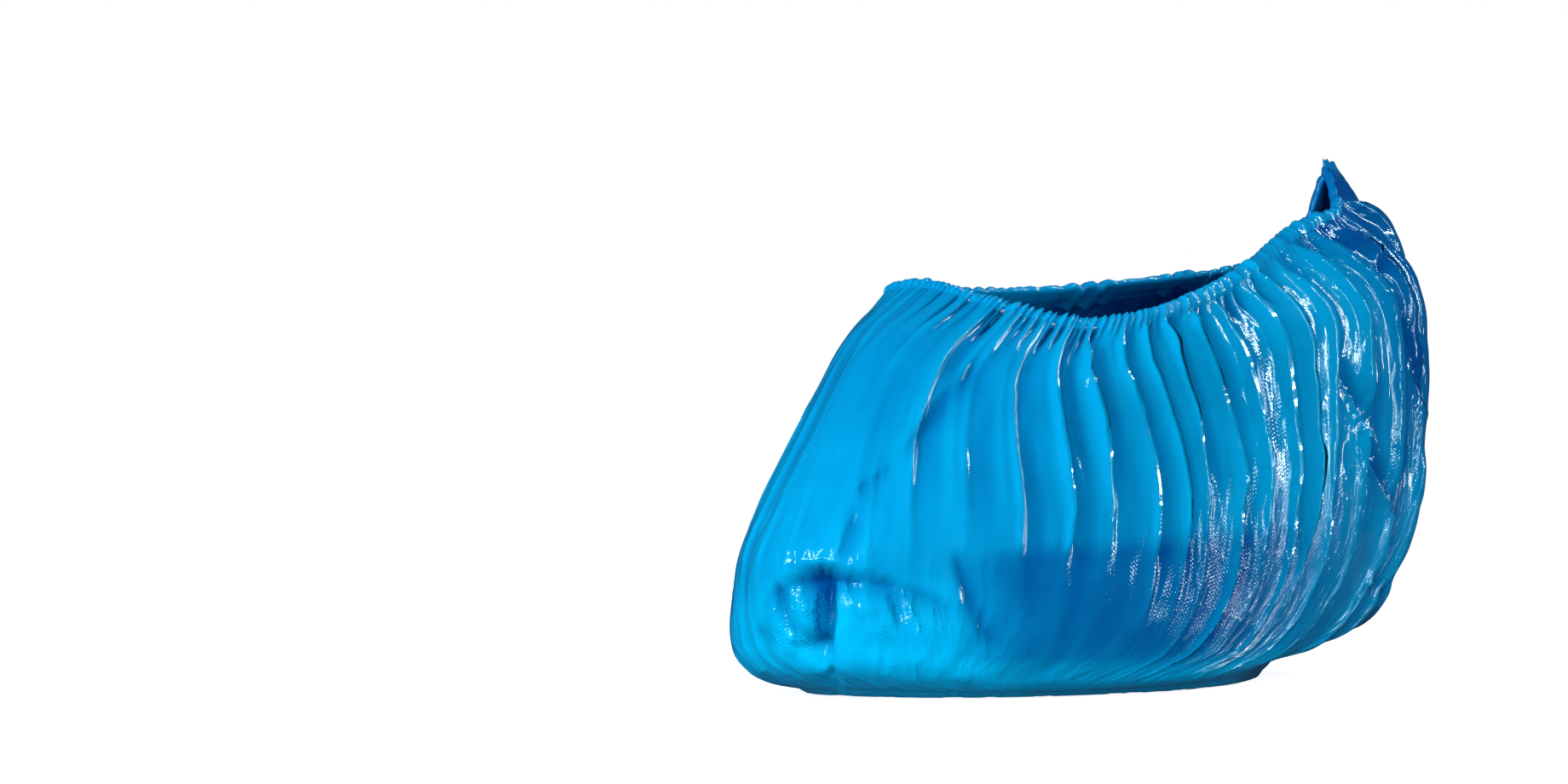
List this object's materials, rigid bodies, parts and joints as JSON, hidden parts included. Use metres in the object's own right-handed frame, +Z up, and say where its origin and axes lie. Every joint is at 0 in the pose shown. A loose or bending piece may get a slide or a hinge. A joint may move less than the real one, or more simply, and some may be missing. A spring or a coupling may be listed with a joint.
{
  "type": "disposable shoe cover",
  "caption": "Disposable film shoe cover: a gathered bag with an elasticated ruffled hem and heat-sealed end welds, in its worn shape, standing on its sole.",
  "frame": {"origin": "middle of the footprint's bounding box, on the floor", "axes": "+Z up, +Y from the toe to the heel, +X to the outer side of a left foot"},
  "size_m": [0.1116, 0.3132, 0.148],
  "materials": {
    "film": "thin embossed polyethylene film, glossy and slightly see-through",
    "hem_film": "the same film doubled over the elastic, ruffled",
    "weld_film": "fused film, smooth and darker",
    "elastic": "thin flat elastic, matt, inside the hem"
  },
  "bodies": {
    "root": {"film_body": "film", "hem_casing": "hem_film", "elastic_band": "elastic", "toe_weld": "weld_film", "heel_weld": "weld_film"}
  },
  "joints": []
}
